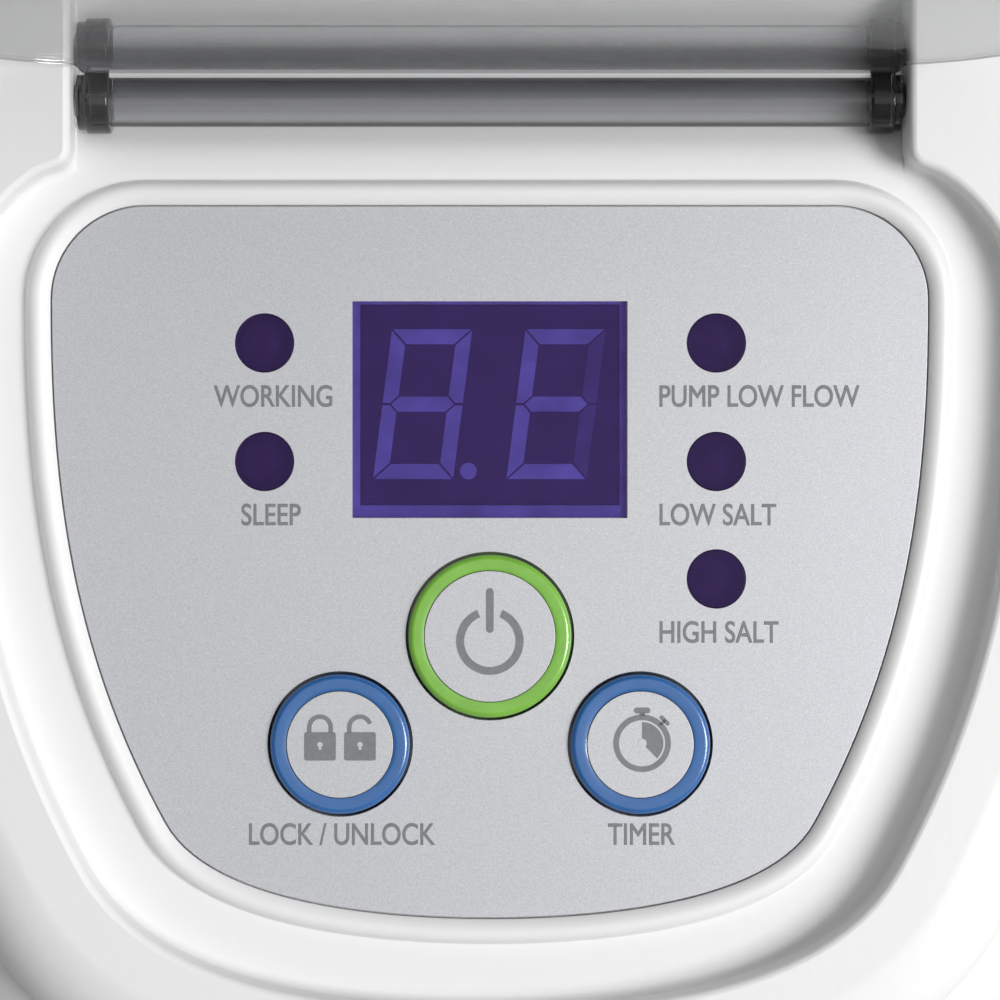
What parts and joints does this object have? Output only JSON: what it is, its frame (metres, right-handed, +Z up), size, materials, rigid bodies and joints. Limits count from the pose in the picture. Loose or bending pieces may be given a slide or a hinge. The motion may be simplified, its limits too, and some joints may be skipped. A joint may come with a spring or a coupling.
{
  "type": "salt chlorine generator",
  "caption": "Tabletop pool salt chlorinator: white tapered tower with a sloped button panel under a hinged smoky lid, on a grey tray with hose unions on both sides.",
  "frame": {"origin": "under the middle of the footprint, at the level of the soles of the feet", "axes": "+Z up, front with the control panel towards -Y, +X to the right, along the flow cell"},
  "size_m": [0.3516, 0.19, 0.3299],
  "materials": {
    "housing_white": "satin moulded white with a fine grain",
    "tray_grey": "satin moulded grey",
    "fitting_grey": "satin moulded light grey",
    "fitting_dark": "satin moulded charcoal",
    "rubber_black": "soft matt rubber",
    "screw_steel": "stainless steel",
    "label_silver": "printed film with metallic silver flake",
    "window_violet": "clear violet filter film",
    "led_clear": "cast epoxy",
    "module_black": "moulded black",
    "board_green": "solder-masked board",
    "ring_green": "glossy green",
    "ring_blue": "glossy blue",
    "lid_smoke": "polished smoky clear",
    "titanium_plate": "oxide-coated titanium sheet",
    "transformer_grey": "varnished laminations",
    "heat_sink_aluminium": "extruded aluminium",
    "lead_red": "insulated wire",
    "lead_black": "insulated wire"
  },
  "bodies": {
    "root": {"base_tray": "tray_grey", "cable_gland": "fitting_dark", "cell_body": "fitting_grey", "cell_cover": "fitting_dark", "cell_gasket": "rubber_black", "cell_lead_negative": "lead_black", "cell_lead_positive": "lead_red", "control_board": "board_green", "cover_screw_1": "screw_steel", "cover_screw_2": "screw_steel", "cover_screw_3": "screw_steel", "cover_screw_4": "screw_steel", "display_module": "module_black", "display_window": "window_violet", "electrode_plate_1": "titanium_plate", "electrode_plate_2": "titanium_plate", "electrode_plate_3": "titanium_plate", "electrode_plate_4": "titanium_plate", "electrode_plate_5": "titanium_plate", "electronics_shelf": "tray_grey", "flow_sensor": "fitting_dark", "foot_1": "rubber_black", "foot_2": "rubber_black", "foot_3": "rubber_black", "foot_4": "rubber_black", "heat_sink": "heat_sink_aluminium", "hose_tail_left": "fitting_grey", "hose_tail_right": "fitting_grey", "lamp_window_high_salt": "window_violet", "lamp_window_low_flow": "window_violet", "lamp_window_low_salt": "window_violet", "lamp_window_sleep": "window_violet", "lamp_window_working": "window_violet", "led_high_salt": "led_clear", "led_low_flow": "led_clear", "led_low_salt": "led_clear", "led_sleep": "led_clear", "led_working": "led_clear", "lock_switch": "module_black", "panel_label": "label_silver", "power_board": "board_green", "power_switch": "module_black", "rear_cover": "housing_white", "terminal_negative": "screw_steel", "terminal_positive": "screw_steel", "timer_switch": "module_black", "transformer": "transformer_grey", "union_seal_left": "rubber_black", "union_seal_right": "rubber_black", "upper_housing": "housing_white"},
    "lid": {"lid": "lid_smoke"},
    "power_button": {"power_button": "ring_green", "power_button_disc": "label_silver"},
    "lock_button": {"lock_button": "ring_blue", "lock_button_disc": "label_silver"},
    "timer_button": {"timer_button": "ring_blue", "timer_button_disc": "label_silver"},
    "union_nut_left": {"union_nut_left": "fitting_dark"},
    "union_nut_right": {"union_nut_right": "fitting_dark"},
    "flow_paddle": {"flow_paddle": "fitting_grey"}
  },
  "joints": [
    {"name": "lid_hinge", "type": "hinge", "parent": "root", "child": "lid", "pos_m": [0, 0.02115, 0.25387], "axis": [1, 0, 0], "range_deg": [-15, 90]},
    {"name": "power_press", "type": "slide", "parent": "root", "child": "power_button", "axis": [0, 0.5, -0.866], "range_m": [0, 0.0006], "stiffness_N_per_m": 1500},
    {"name": "lock_press", "type": "slide", "parent": "root", "child": "lock_button", "axis": [0, 0.5, -0.866], "range_m": [0, 0.0006], "stiffness_N_per_m": 1500},
    {"name": "timer_press", "type": "slide", "parent": "root", "child": "timer_button", "axis": [0, 0.5, -0.866], "range_m": [0, 0.0006], "stiffness_N_per_m": 1500},
    {"name": "union_nut_left_turn", "type": "hinge", "parent": "root", "child": "union_nut_left", "pos_m": [-0.124, -0.007, 0.05235], "axis": [-1, 0, 0], "continuous": true},
    {"name": "union_nut_right_turn", "type": "hinge", "parent": "root", "child": "union_nut_right", "pos_m": [0.124, -0.007, 0.05235], "axis": [1, 0, 0], "continuous": true},
    {"name": "flow_paddle_swing", "type": "hinge", "parent": "root", "child": "flow_paddle", "pos_m": [-0.087, -0.007, 0.07185], "axis": [0, -1, 0], "range_deg": [0, 50]}
  ]
}
